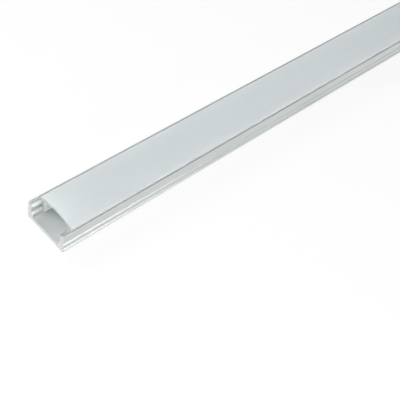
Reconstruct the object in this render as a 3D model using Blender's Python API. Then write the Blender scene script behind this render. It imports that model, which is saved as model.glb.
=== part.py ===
"""Low surface-mounted aluminium profile for an LED strip, with a frosted snap-in cover.

Units are metres and +Z is up. Both pieces are straight extrusions along X. The origin is at
mid-length and mid-width, level with the two feet that the profile stands on. Sections are
drawn as (y, z) corners for the +Y half and mirrored to the -Y half.
"""

import math

import bmesh
import bpy

MM = 0.001

# Lengths along X
CHANNEL_LENGTH = 250 * MM
COVER_SET_BACK = 3.6 * MM  # each end of the cover lies this far inside the channel's end

# Channel: inside, from the strip space out to the side and from the floor up
STRIP_SPACE_WIDTH = 12.3 * MM
FLOOR_THICKNESS = 1.1 * MM
FLOOR_FILLET = 0.25 * MM
LEDGE_HEIGHT = 2.2 * MM  # above the floor
LEDGE_WIDTH = 0.8 * MM
LEDGE_SLOPE = 0.40 * MM  # 45 degree slope at the ledge's inner edge
HOOK_GROOVE_HEIGHT = 1.85 * MM
NOSE_OVERHANG = 0.50 * MM  # of the nose over the hook groove
NOSE_HEIGHT = 0.65 * MM
LEAD_IN_DEPTH = 0.70 * MM  # 45 degree slope from the nose to the rebate
REBATE_DEPTH = 0.50 * MM
LIP_WIDTH = 0.50 * MM

# Channel: outside
GROOVE_WALL = 1.5 * MM  # between the hook groove and the side
RIDGE_DEPTH = 0.35 * MM
RIDGE_TIP_WIDTH = 0.12 * MM
LOWER_RIDGE_HEIGHT = 1.28 * MM  # tip above the feet
RIDGE_SPACING = 2.44 * MM
FOOT_CHAMFER = 0.30 * MM
FOOT_WIDTH = 2.6 * MM  # flat strip that the profile stands on, under each wall
UNDERSIDE_RECESS = 0.30 * MM

# Cover
FIT_GAP = 0.25 * MM  # all round between the cover and the channel
COVER_WALL = 1.0 * MM
COVER_RISE = 2.0 * MM  # crown of the arch above the channel's lips
SHOULDER_RISE = 0.45 * MM  # where the arch meets the edge, above the channel's lips
SHOULDER_RADIUS = 0.80 * MM
ARCH_FILLET = 0.60 * MM  # inner corner between the arch and a leg
BARB_LAND = 0.30 * MM  # upright stretch at the widest part of the barb
BARB_LEAD_IN = 2.1 * MM  # height of the slope from there to the leg's tip
LEG_TIP_WIDTH = 0.50 * MM
LEG_TIP_RADIUS = 0.30 * MM

# Small radii left by the extrusion die
OUTER_RADIUS = 0.15 * MM
INNER_RADIUS = 0.08 * MM

ARC_STEP = math.radians(15)  # longest turn between two points of a small arc
ARCH_STEPS = 14  # straight stretches along each half of the arch

# Widths of the channel's section, measured out from its middle
strip_y = STRIP_SPACE_WIDTH / 2
groove_y = strip_y + LEDGE_WIDTH
nose_y = groove_y - NOSE_OVERHANG
rebate_y = nose_y + LEAD_IN_DEPTH
side_y = groove_y + GROOVE_WALL
lip_y = side_y - LIP_WIDTH
ridge_y = side_y + RIDGE_DEPTH
foot_outer_y = side_y - FOOT_CHAMFER
foot_inner_y = foot_outer_y - FOOT_WIDTH

# Heights of the channel's section
floor_z = UNDERSIDE_RECESS + FLOOR_THICKNESS
ledge_z = floor_z + LEDGE_HEIGHT
groove_top_z = ledge_z + HOOK_GROOVE_HEIGHT
nose_top_z = groove_top_z + NOSE_HEIGHT
rebate_z = nose_top_z + LEAD_IN_DEPTH
lip_z = rebate_z + REBATE_DEPTH

# Widths and heights of the cover's section, all from the channel and the gap
edge_y = lip_y - FIT_GAP
leg_outer_y = nose_y - FIT_GAP
leg_inner_y = leg_outer_y - COVER_WALL
barb_y = groove_y - FIT_GAP
flange_z = rebate_z + FIT_GAP
slope_gap = FIT_GAP * math.tan(math.radians(22.5))  # shift of a corner between flat and 45 degrees
barb_top_z = groove_top_z - FIT_GAP
barb_land_z = barb_top_z - BARB_LAND
leg_tip_z = barb_land_z - BARB_LEAD_IN
crown_z = lip_z + COVER_RISE
shoulder_z = lip_z + SHOULDER_RISE


def clear_scene():
    for obj in list(bpy.data.objects):
        bpy.data.objects.remove(obj, do_unlink=True)


def new_collection(name):
    collection = bpy.data.collections.new(name)
    bpy.context.scene.collection.children.link(collection)
    return collection


def new_material(name, colour, roughness, metallic):
    material = bpy.data.materials.new(name)
    material.use_nodes = True
    shader = material.node_tree.nodes["Principled BSDF"]
    shader.inputs["Base Color"].default_value = (*colour, 1.0)
    shader.inputs["Roughness"].default_value = roughness
    shader.inputs["Metallic"].default_value = metallic
    return material


def mirrored(half):
    """Corners (y, z, radius) of a closed outline, from those of its +Y half."""
    other = [(-y, z, radius) for y, z, radius in reversed(half) if y > 0]
    return half + other


def rounded(corners):
    """Points (y, z) of a closed outline whose corners (y, z, radius) are turned into arcs."""
    points = []
    after = corners[1:] + corners[:1]
    for index, corner in enumerate(corners):
        points += corner_arc(corners[index - 1], corner, after[index])
    return points


def corner_arc(before, corner, after):
    """The arc that rounds one corner, or the corner itself where its radius is zero."""
    y, z, radius = corner
    if radius == 0:
        return [(y, z)]
    to_before = unit(before[0] - y, before[1] - z)
    to_after = unit(after[0] - y, after[1] - z)
    half_angle = math.acos(to_before[0] * to_after[0] + to_before[1] * to_after[1]) / 2
    middle = unit(to_before[0] + to_after[0], to_before[1] + to_after[1])
    reach = radius / math.sin(half_angle)
    centre = (y + middle[0] * reach, z + middle[1] * reach)
    run = radius / math.tan(half_angle)
    start = (y + to_before[0] * run, z + to_before[1] * run)
    turn = math.pi - 2 * half_angle
    if to_before[0] * to_after[1] - to_before[1] * to_after[0] > 0:
        turn = -turn
    steps = max(2, math.ceil(abs(turn) / ARC_STEP))
    return [turned(start, centre, turn * step / steps) for step in range(steps + 1)]


def unit(y, z):
    length = math.hypot(y, z)
    return (y / length, z / length)


def turned(point, centre, angle):
    """A point turned about a centre, with positive angles from +Y towards +Z."""
    dy = point[0] - centre[0]
    dz = point[1] - centre[1]
    cosine = math.cos(angle)
    sine = math.sin(angle)
    return (centre[0] + dy * cosine - dz * sine, centre[1] + dy * sine + dz * cosine)


def ridge(tip_z):
    """Corners of one side ridge with 45 degree flanks, from its lower edge up."""
    half_tip = RIDGE_TIP_WIDTH / 2
    return [
        (side_y, tip_z - half_tip - RIDGE_DEPTH, INNER_RADIUS),
        (ridge_y, tip_z - half_tip, 0),
        (ridge_y, tip_z + half_tip, 0),
        (side_y, tip_z + half_tip + RIDGE_DEPTH, INNER_RADIUS),
    ]


def channel_outline():
    """Section of the channel: its +Y half goes from the underside round the wall to the floor."""
    half = [
        (foot_inner_y - UNDERSIDE_RECESS, UNDERSIDE_RECESS, INNER_RADIUS),
        (foot_inner_y, 0, INNER_RADIUS),
        (foot_outer_y, 0, 0),
        (side_y, FOOT_CHAMFER, 0),
    ]
    half += ridge(LOWER_RIDGE_HEIGHT)
    half += ridge(LOWER_RIDGE_HEIGHT + RIDGE_SPACING)
    half += [
        (side_y, lip_z, OUTER_RADIUS),
        (lip_y, lip_z, OUTER_RADIUS),
        (lip_y, rebate_z, INNER_RADIUS),
        (rebate_y, rebate_z, OUTER_RADIUS),
        (nose_y, nose_top_z, OUTER_RADIUS),
        (nose_y, groove_top_z, INNER_RADIUS),
        (groove_y, groove_top_z, INNER_RADIUS),
        (groove_y, ledge_z, INNER_RADIUS),
        (strip_y + LEDGE_SLOPE, ledge_z, INNER_RADIUS),
        (strip_y, ledge_z - LEDGE_SLOPE, INNER_RADIUS),
        (strip_y, floor_z, FLOOR_FILLET),
    ]
    return rounded(mirrored(half))


def arch_radius():
    """Radius of the outer arch through its crown and the two shoulders."""
    rise = crown_z - shoulder_z
    return (edge_y * edge_y + rise * rise) / (2 * rise)


def arch_corners(radius, y_end):
    """Corners along an arc about the arch's centre, from mid-width to y_end."""
    centre_z = crown_z - arch_radius()
    end_angle = math.asin(y_end / radius)
    angles = [end_angle * step / ARCH_STEPS for step in range(ARCH_STEPS + 1)]
    return [(radius * math.sin(angle), centre_z + radius * math.cos(angle), 0) for angle in angles]


def shoulder_run():
    """How far the rounded shoulder reaches along the arch from the cover's edge."""
    slope = math.asin(edge_y / arch_radius())
    return SHOULDER_RADIUS * math.tan((math.pi / 2 - slope) / 2)


def cover_outline():
    """Section of the cover: its +Y half goes from the crown round the leg to the underside."""
    outer = arch_radius()
    inner = outer - COVER_WALL
    leg_top_z = arch_corners(inner, leg_inner_y)[-1][1]
    half = arch_corners(outer, edge_y - shoulder_run())
    half += [
        (edge_y, shoulder_z, SHOULDER_RADIUS),
        (edge_y, flange_z, INNER_RADIUS),
        (rebate_y - slope_gap, flange_z, OUTER_RADIUS),
        (leg_outer_y, nose_top_z + slope_gap, INNER_RADIUS),
        (leg_outer_y, barb_top_z, INNER_RADIUS),
        (barb_y, barb_top_z, INNER_RADIUS),
        (barb_y, barb_land_z, INNER_RADIUS),
        (leg_inner_y + LEG_TIP_WIDTH, leg_tip_z, LEG_TIP_RADIUS),
        (leg_inner_y, leg_tip_z, INNER_RADIUS),
        (leg_inner_y, leg_top_z, ARCH_FILLET),
    ]
    half += reversed(arch_corners(inner, leg_inner_y - ARCH_FILLET))
    return rounded(mirrored(half))


def extrusion(name, outline, length, material, collection):
    """A straight bar along X, centred on the origin, with the given section of (y, z) points."""
    curve = bpy.data.curves.new(name + "_section", "CURVE")
    curve.dimensions = "2D"
    curve.fill_mode = "BOTH"
    curve.extrude = length / 2
    spline = curve.splines.new("POLY")
    spline.points.add(len(outline) - 1)
    for point, (y, z) in zip(spline.points, outline):
        point.co = (y, z, 0, 1)
    spline.use_cyclic_u = True
    section = bpy.data.objects.new(name + "_section", curve)
    section.rotation_euler = (math.pi / 2, 0, math.pi / 2)
    collection.objects.link(section)
    bpy.context.view_layer.update()

    evaluated = section.evaluated_get(bpy.context.evaluated_depsgraph_get())
    mesh = bpy.data.meshes.new_from_object(evaluated)
    weld(mesh)
    mesh.name = name
    mesh.transform(section.matrix_world)
    mesh.shade_smooth()
    mesh.set_sharp_from_angle(angle=math.radians(25))
    mesh.materials.append(material)
    bar = bpy.data.objects.new(name, mesh)
    collection.objects.link(bar)
    bpy.data.objects.remove(section)
    return bar


def weld(mesh):
    """Joins the end faces to the sides, so that the bar is one closed body."""
    cleaned = bmesh.new()
    cleaned.from_mesh(mesh)
    bmesh.ops.remove_doubles(cleaned, verts=cleaned.verts, dist=0.001 * MM)
    bmesh.ops.recalc_face_normals(cleaned, faces=cleaned.faces)
    cleaned.to_mesh(mesh)
    cleaned.free()


def main():
    clear_scene()
    collection = new_collection("led_strip_profile")
    aluminium = new_material("satin_aluminium", (0.60, 0.61, 0.61), 0.35, 1.0)
    frosted = new_material("frosted_plastic", (0.68, 0.71, 0.72), 0.55, 0.0)
    extrusion("channel", channel_outline(), CHANNEL_LENGTH, aluminium, collection)
    extrusion("cover", cover_outline(), CHANNEL_LENGTH - 2 * COVER_SET_BACK, frosted, collection)


main()
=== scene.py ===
"""Looks for the LED strip profile: satin anodised aluminium with a frosted opal cover.

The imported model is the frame. Its two nodes keep their shape; modifiers weld and bevel their
edges, and node-based materials give them their finish. Units are metres, +Z is up.
"""

import math

import bpy
from mathutils import Matrix, Vector

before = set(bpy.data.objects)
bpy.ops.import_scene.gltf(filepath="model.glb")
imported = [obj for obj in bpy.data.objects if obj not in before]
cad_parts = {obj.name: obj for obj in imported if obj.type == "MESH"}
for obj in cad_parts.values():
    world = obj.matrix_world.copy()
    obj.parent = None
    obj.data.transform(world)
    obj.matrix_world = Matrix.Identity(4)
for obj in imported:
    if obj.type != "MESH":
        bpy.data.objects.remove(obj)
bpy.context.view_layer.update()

MM = 0.001
WHITE = (1.0, 1.0, 1.0)

# Camera, fitted to the near end and the long edges of the profile
CAMERA_PLACE = (-0.22094, -0.11983, 0.20014)
CAMERA_RIGHT = (0.7160, -0.6773, 0.1690)
CAMERA_UP = (0.4431, 0.6280, 0.6396)
FOCAL_SHARE = 829.05 / 400  # focal length over the width of the square picture
SENSOR_WIDTH = 36.0  # in millimetres
NEAREST_SEEN = 0.01

# Edges
WELD_DISTANCE = 0.001 * MM
EDGE_BEVEL = 0.04 * MM
BEVEL_SEGMENTS = 2
FLAT_ANGLE = math.radians(0.4)  # faces closer than this in direction become one
SHARP_ANGLE = math.radians(30)

# Patterns: lengths of the grains along X, Y and Z
DIE_LINES = (500 * MM, 0.16 * MM, 0.16 * MM)
FINE_LINES = (90 * MM, 0.05 * MM, 0.05 * MM)
METAL_CLOUDS = (22 * MM, 5 * MM, 5 * MM)
METAL_GRAIN = (0.06 * MM, 0.06 * MM, 0.06 * MM)
METAL_SAW = (1.0, 0.09 * MM, 6 * MM)
METAL_SAW_TURN = math.radians(24)
FLOW_LINES = (160 * MM, 0.7 * MM, 0.7 * MM)
PLASTIC_CLOUDS = (30 * MM, 6 * MM, 6 * MM)
FROSTING = (0.08 * MM, 0.08 * MM, 0.08 * MM)
PLASTIC_SAW = (1.0, 0.12 * MM, 5 * MM)
PLASTIC_SAW_TURN = math.radians(-31)
NOISE_ROUGHNESS = 0.6
NOISE_REACH = (0.33, 0.67)  # nearly all values of a noise texture lie between these
SAWN_ALONG = 0.8  # a face is a sawn end if its normal's share along X is larger
RELIEF = 0.02 * MM

# Aluminium: darkest and lightest skin, tint of the sawn ends against it, lowest and highest
# roughness of both, and the strength of the relief
METAL_TONES = ((0.578, 0.603, 0.594), (0.665, 0.693, 0.684))
METAL_CUT_TINT = (1.15, 1.13, 1.14)
METAL_ROUGHNESS = (0.40, 0.54)
METAL_CUT_ROUGHNESS = (0.42, 0.62)
METAL_BUMP = 0.20
METAL_ANISOTROPY = 0.35

# Plastic: the same, with the tones of the light that it throws back and of the light it lets by.
# On the plastic the tint of the sawn ends is painted shade that darkens them
PLASTIC_TONES = ((0.745, 0.799, 0.816), (0.781, 0.835, 0.852))
PLASTIC_DEPTHS = ((0.978, 0.981, 0.984), (0.990, 0.992, 0.994))
# Darker sawn ends of the cover: painted shade on its end faces
PLASTIC_CUT_SHADE = (0.72, 0.73, 0.72)
PLASTIC_ROUGHNESS = (0.50, 0.62)
PLASTIC_CUT_ROUGHNESS = (0.65, 0.85)
PLASTIC_BUMP = 0.25
PLASTIC_IOR = 1.49
INTO_SHARE = 0.55  # share of the light that goes into the plastic and isn't thrown back
OUT_SHARE = 0.90  # share of the light inside the plastic that a face lets out

# Lamps: name, place, point aimed at, size along and across, power in watts, lights matt surfaces.
# The two in front don't, and only show as reflections.
LAMPS = [
    ("front", (-0.13, -0.36, 0.16), (-0.12, 0.0, 0.0), (0.16, 0.10), 0.46, False),
    ("front_right", (0.0, -0.40, 0.21), (-0.07, 0.0, 0.0), (0.16, 0.12), 0.20, False),
    ("top", (-0.45, -0.30, 0.80), (-0.03, 0.0, 0.0), (0.60, 0.60), 8.2, True),
    ("side", (-0.20, 0.70, 0.50), (0.0, 0.0, 0.0), (0.60, 0.40), 2.6, True),
    ("upper_side", (-0.10, 0.50, 0.80), (0.0, 0.0, 0.0), (0.60, 0.50), 0.45, True),
    ("far", (0.40, 0.15, 0.60), (0.05, 0.0, 0.0), (0.50, 0.50), 0.32, True),
    ("over", (-0.02, 0.0, 0.95), (0.0, 0.0, 0.0), (0.60, 0.60), 1.0, True),
]

# Surround
HORIZON_COLOUR = WHITE
ZENITH_COLOUR = (0.06, 0.06, 0.06)
WORLD_STRENGTH = 1.0
SKY_BLEND = (0.08, 0.60)  # sines of the heights over which the horizon's colour fades out

# Floor
FLOOR_SIZE = 12.0
CARD_COLOUR = (0.80, 0.80, 0.80)  # of the floor as it lights matt surfaces
SHADED_COLOUR = (0.30, 0.30, 0.30)  # of the part of the seen floor that takes shadows
NEAR_GLOW = 0.62  # light that the seen floor gives by itself, near the object
FAR_GLOW = 1.0  # and where it is no longer shaded
SHADED_REACH = (0.25, 0.60)  # distances from the middle over which the floor's shading fades out


def set_inputs(node, **values):
    """Sets sockets by name, with underscores for the spaces."""
    for name, value in values.items():
        node.inputs[name.replace("_", " ")].default_value = value
    return node


class Nodes:
    """Short calls for building a node tree."""

    def __init__(self, tree):
        self.tree = tree
        tree.nodes.clear()

    def add(self, kind, **inputs):
        return set_inputs(self.tree.nodes.new(kind), **inputs)

    def link(self, source, target):
        self.tree.links.new(source, target)

    def feed(self, value, socket):
        """Gives a socket a number or the output of another node."""
        if isinstance(value, (int, float)):
            socket.default_value = value
        else:
            self.link(value, socket)

    def math(self, operation, *values):
        node = self.add("ShaderNodeMath")
        node.operation = operation
        for socket, value in zip(node.inputs, values):
            self.feed(value, socket)
        return node.outputs["Value"]

    def sum(self, share, first, second):
        """The given share of the first value, plus the rest of the second."""
        return self.math(
            "ADD", self.math("MULTIPLY", first, share), self.math("MULTIPLY", second, 1 - share)
        )

    def spread(self, value, low, high, start=0.0, end=1.0):
        """Maps start..end to low..high."""
        node = self.add(
            "ShaderNodeMapRange", From_Min=start, From_Max=end, To_Min=low, To_Max=high
        )
        self.link(value, node.inputs["Value"])
        return node.outputs["Result"]

    def streaks(self, place, grain, detail=3.0, turn=0.0):
        """Noise whose grains have the given lengths in metres, turned about X."""
        mapping = self.add(
            "ShaderNodeMapping",
            Rotation=(turn, 0.0, 0.0),
            Scale=[1 / length for length in grain],
        )
        self.link(place, mapping.inputs["Vector"])
        noise = self.add(
            "ShaderNodeTexNoise", Scale=1.0, Detail=detail, Roughness=NOISE_ROUGHNESS
        )
        self.link(mapping.outputs["Vector"], noise.inputs["Vector"])
        return noise.outputs["Fac"]

    def blend(self, share, first, second):
        """A value that goes from first to second as share goes from 0 to 1."""
        node = self.add("ShaderNodeMix")
        self.feed(share, node.inputs["Factor"])
        self.feed(first, node.inputs["A"])
        self.feed(second, node.inputs["B"])
        return node.outputs["Result"]

    def colours(self, share, dark, light, start=0.0, end=1.0):
        """A colour that goes from dark to light as share goes from start to end."""
        ramp = self.add("ShaderNodeValToRGB")
        for stop, place, colour in zip(ramp.color_ramp.elements, (start, end), (dark, light)):
            stop.position = place
            stop.color = (*colour, 1.0)
        self.link(share, ramp.inputs["Fac"])
        return ramp.outputs["Color"]

    def tinted(self, colour, share, tint):
        """The colour, times the given tint where share is 1."""
        node = self.add("ShaderNodeMix")
        node.data_type = "RGBA"
        node.blend_type = "MULTIPLY"
        self.link(share, node.inputs["Factor"])
        self.link(colour, node.inputs["A"])
        node.inputs["B"].default_value = (*tint, 1.0)
        return node.outputs["Result"]

    def bumps(self, height, strength):
        """Normals of a surface with the given relief."""
        bump = self.add("ShaderNodeBump", Strength=strength, Distance=RELIEF)
        self.link(height, bump.inputs["Height"])
        return bump.outputs["Normal"]

    def matt(self, colour):
        return self.add("ShaderNodeBsdfDiffuse", Color=(*colour, 1.0)).outputs["BSDF"]

    def glowing(self, strength):
        glow = self.add("ShaderNodeEmission", Color=(*WHITE, 1.0), Strength=strength)
        return glow.outputs["Emission"]

    def either(self, share, first, second):
        """A shader that goes from first to second as share goes from 0 to 1."""
        node = self.add("ShaderNodeMixShader")
        self.link(share, node.inputs["Fac"])
        self.link(first, node.inputs[1])
        self.link(second, node.inputs[2])
        return node.outputs["Shader"]

    def show(self, shader, kind="ShaderNodeOutputMaterial"):
        """Makes the shader the surface of the material or world."""
        self.link(shader, self.add(kind).inputs["Surface"])


def new_material(name):
    material = bpy.data.materials.new(name)
    material.use_nodes = True
    return material, Nodes(material.node_tree)


def cut_end_share(nodes, coordinates):
    """1 on the sawn ends, whose normals lie along X, and 0 elsewhere."""
    parts = nodes.add("ShaderNodeSeparateXYZ")
    nodes.link(coordinates.outputs["Normal"], parts.inputs["Vector"])
    along = nodes.math("ABSOLUTE", parts.outputs["X"])
    return nodes.math("GREATER_THAN", along, SAWN_ALONG)


def roughness(nodes, cut, skin, skin_range, sawn, sawn_range):
    """Roughness that follows one pattern on the skin and another on the sawn ends."""
    return nodes.blend(
        cut,
        nodes.spread(skin, *skin_range, *NOISE_REACH),
        nodes.spread(sawn, *sawn_range, *NOISE_REACH),
    )


def satin_aluminium():
    """Anodised extrusion: lines along X, fine matt grain, and saw marks on the cut ends."""
    material, nodes = new_material("satin_aluminium_dressed")
    coordinates = nodes.add("ShaderNodeTexCoord")
    place = coordinates.outputs["Object"]
    die_lines = nodes.streaks(place, DIE_LINES)
    fine_lines = nodes.streaks(place, FINE_LINES)
    clouds = nodes.streaks(place, METAL_CLOUDS, detail=2.0)
    grain = nodes.streaks(place, METAL_GRAIN, detail=1.0)
    saw_marks = nodes.streaks(place, METAL_SAW, turn=METAL_SAW_TURN)
    cut = cut_end_share(nodes, coordinates)

    lines = nodes.sum(0.6, die_lines, fine_lines)
    marks = nodes.blend(cut, lines, saw_marks)
    skin = nodes.colours(nodes.sum(0.7, marks, clouds), *METAL_TONES, *NOISE_REACH)
    rough = roughness(nodes, cut, lines, METAL_ROUGHNESS, saw_marks, METAL_CUT_ROUGHNESS)
    normal = nodes.bumps(nodes.sum(0.8, marks, grain), METAL_BUMP)

    shader = nodes.add("ShaderNodeBsdfPrincipled", Metallic=1.0, Anisotropic=METAL_ANISOTROPY)
    nodes.link(nodes.tinted(skin, cut, METAL_CUT_TINT), shader.inputs["Base Color"])
    nodes.link(rough, shader.inputs["Roughness"])
    nodes.link(normal, shader.inputs["Normal"])
    nodes.show(shader.outputs["BSDF"])
    return material


def frosted_cover():
    """Frosted opal plastic: milky, lets light through scattered, with soft flow lines."""
    material, nodes = new_material("frosted_plastic_dressed")
    coordinates = nodes.add("ShaderNodeTexCoord")
    place = coordinates.outputs["Object"]
    flow_lines = nodes.streaks(place, FLOW_LINES, detail=2.0)
    clouds = nodes.streaks(place, PLASTIC_CLOUDS, detail=2.0)
    frosting = nodes.streaks(place, FROSTING, detail=2.0)
    saw_marks = nodes.streaks(place, PLASTIC_SAW, turn=PLASTIC_SAW_TURN)
    cut = cut_end_share(nodes, coordinates)

    tone = nodes.sum(0.5, flow_lines, clouds)
    skin = nodes.colours(tone, *PLASTIC_TONES, *NOISE_REACH)
    depth = nodes.colours(tone, *PLASTIC_DEPTHS, *NOISE_REACH)
    rough = roughness(nodes, cut, frosting, PLASTIC_ROUGHNESS, saw_marks, PLASTIC_CUT_ROUGHNESS)
    normal = nodes.bumps(nodes.blend(cut, frosting, saw_marks), PLASTIC_BUMP)

    shader = nodes.add("ShaderNodeBsdfPrincipled", IOR=PLASTIC_IOR)
    # The sawn ends are darkened here by painted shade, in the light thrown back
    nodes.link(nodes.tinted(skin, cut, PLASTIC_CUT_SHADE), shader.inputs["Base Color"])
    nodes.link(rough, shader.inputs["Roughness"])
    nodes.link(normal, shader.inputs["Normal"])
    milky = nodes.add("ShaderNodeBsdfTranslucent")
    # The same painted shade on the sawn ends, in the light let through
    nodes.link(nodes.tinted(depth, cut, PLASTIC_CUT_SHADE), milky.inputs["Color"])
    nodes.link(normal, milky.inputs["Normal"])
    face = nodes.add("ShaderNodeNewGeometry")
    passed = nodes.spread(face.outputs["Backfacing"], INTO_SHARE, OUT_SHARE)
    nodes.show(nodes.either(passed, shader.outputs["BSDF"], milky.outputs["BSDF"]))
    return material


def smoothing_group():
    """Geometry nodes that weld a mesh, drop its stored normals and shade it smooth."""
    group = bpy.data.node_groups.new("weld_and_smooth", "GeometryNodeTree")
    for direction in ("INPUT", "OUTPUT"):
        group.interface.new_socket(
            "Geometry", in_out=direction, socket_type="NodeSocketGeometry"
        )
    start = group.nodes.new("NodeGroupInput")
    plain = group.nodes.new("GeometryNodeRemoveAttribute")
    weld = group.nodes.new("GeometryNodeMergeByDistance")
    smooth = group.nodes.new("GeometryNodeSetShadeSmooth")
    end = group.nodes.new("NodeGroupOutput")
    set_inputs(plain, Name="custom_normal")
    set_inputs(weld, Distance=WELD_DISTANCE)
    chain = (start, plain, weld, smooth, end)
    for source, target in zip(chain, chain[1:]):
        group.links.new(source.outputs[0], target.inputs[0])
    return group


def dress(node, group, material):
    """Gives a CAD node clean bevelled edges and its material."""
    welded = node.modifiers.new("weld", "NODES")
    welded.node_group = group
    flat = node.modifiers.new("flat_faces", "DECIMATE")
    flat.decimate_type = "DISSOLVE"
    flat.angle_limit = FLAT_ANGLE
    bevel = node.modifiers.new("edges", "BEVEL")
    bevel.width = EDGE_BEVEL
    bevel.segments = BEVEL_SEGMENTS
    bevel.angle_limit = SHARP_ANGLE
    bevel.use_clamp_overlap = False
    bevel.harden_normals = False
    weighted = node.modifiers.new("face_normals", "WEIGHTED_NORMAL")
    weighted.keep_sharp = True
    for slot in node.material_slots:
        slot.material = material


def floor_white():
    """Grey where it lights matt surfaces; white where it is seen, with shadows near the middle."""
    material, nodes = new_material("floor_white")
    path = nodes.add("ShaderNodeLightPath")
    seen = nodes.math("MAXIMUM", path.outputs["Is Camera Ray"], path.outputs["Is Glossy Ray"])
    seen = nodes.math("MAXIMUM", seen, path.outputs["Is Transmission Ray"])
    near = nodes.add("ShaderNodeAddShader")
    nodes.link(nodes.matt(SHADED_COLOUR), near.inputs[0])
    nodes.link(nodes.glowing(NEAR_GLOW), near.inputs[1])
    place = nodes.add("ShaderNodeTexCoord")
    distance = nodes.add("ShaderNodeVectorMath")
    distance.operation = "LENGTH"
    nodes.link(place.outputs["Object"], distance.inputs[0])
    away = nodes.spread(distance.outputs["Value"], 0.0, 1.0, *SHADED_REACH)
    backdrop = nodes.either(away, near.outputs["Shader"], nodes.glowing(FAR_GLOW))
    nodes.show(nodes.either(seen, nodes.matt(CARD_COLOUR), backdrop))
    return material


def add_floor():
    half = FLOOR_SIZE / 2
    corners = [(-half, -half, 0), (half, -half, 0), (half, half, 0), (-half, half, 0)]
    mesh = bpy.data.meshes.new("floor")
    mesh.from_pydata(corners, [], [(0, 1, 2, 3)])
    mesh.materials.append(floor_white())
    floor = bpy.data.objects.new("floor", mesh)
    bpy.context.scene.collection.objects.link(floor)


def add_world():
    """Soft studio surround, white at the horizon and dark overhead."""
    world = bpy.data.worlds.new("studio")
    bpy.context.scene.world = world
    world.use_nodes = True
    nodes = Nodes(world.node_tree)
    direction = nodes.add("ShaderNodeTexCoord")
    parts = nodes.add("ShaderNodeSeparateXYZ")
    nodes.link(direction.outputs["Generated"], parts.inputs["Vector"])
    height = nodes.spread(parts.outputs["Z"], 0.0, 1.0, *SKY_BLEND)
    sky = nodes.add("ShaderNodeBackground", Strength=WORLD_STRENGTH)
    nodes.link(nodes.colours(height, HORIZON_COLOUR, ZENITH_COLOUR), sky.inputs["Color"])
    nodes.show(sky.outputs["Background"], "ShaderNodeOutputWorld")


def aimed(place, target):
    """Rotation that points -Z from place to target."""
    return (Vector(target) - Vector(place)).to_track_quat("-Z", "Y").to_euler()


def add_lamps():
    for name, place, target, size, power, matt in LAMPS:
        lamp = bpy.data.lights.new(name, "AREA")
        lamp.shape = "RECTANGLE"
        lamp.size, lamp.size_y = size
        lamp.energy = power
        holder = bpy.data.objects.new(name, lamp)
        holder.location = place
        holder.rotation_euler = aimed(place, target)
        holder.visible_camera = False
        holder.visible_diffuse = matt
        bpy.context.scene.collection.objects.link(holder)


def add_camera():
    camera = bpy.data.cameras.new("camera")
    camera.sensor_width = SENSOR_WIDTH
    camera.lens = FOCAL_SHARE * SENSOR_WIDTH
    camera.clip_start = NEAREST_SEEN
    holder = bpy.data.objects.new("camera", camera)
    right = Vector(CAMERA_RIGHT).normalized()
    back = right.cross(Vector(CAMERA_UP)).normalized()
    up = back.cross(right)
    turn = Matrix((right, up, back)).transposed().to_4x4()
    holder.matrix_world = Matrix.Translation(CAMERA_PLACE) @ turn
    bpy.context.scene.collection.objects.link(holder)
    bpy.context.scene.camera = holder


group = smoothing_group()
dress(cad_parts["channel"], group, satin_aluminium())
dress(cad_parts["cover"], group, frosted_cover())
add_floor()
add_world()
add_lamps()
add_camera()
bpy.context.scene.view_settings.view_transform = "Standard"
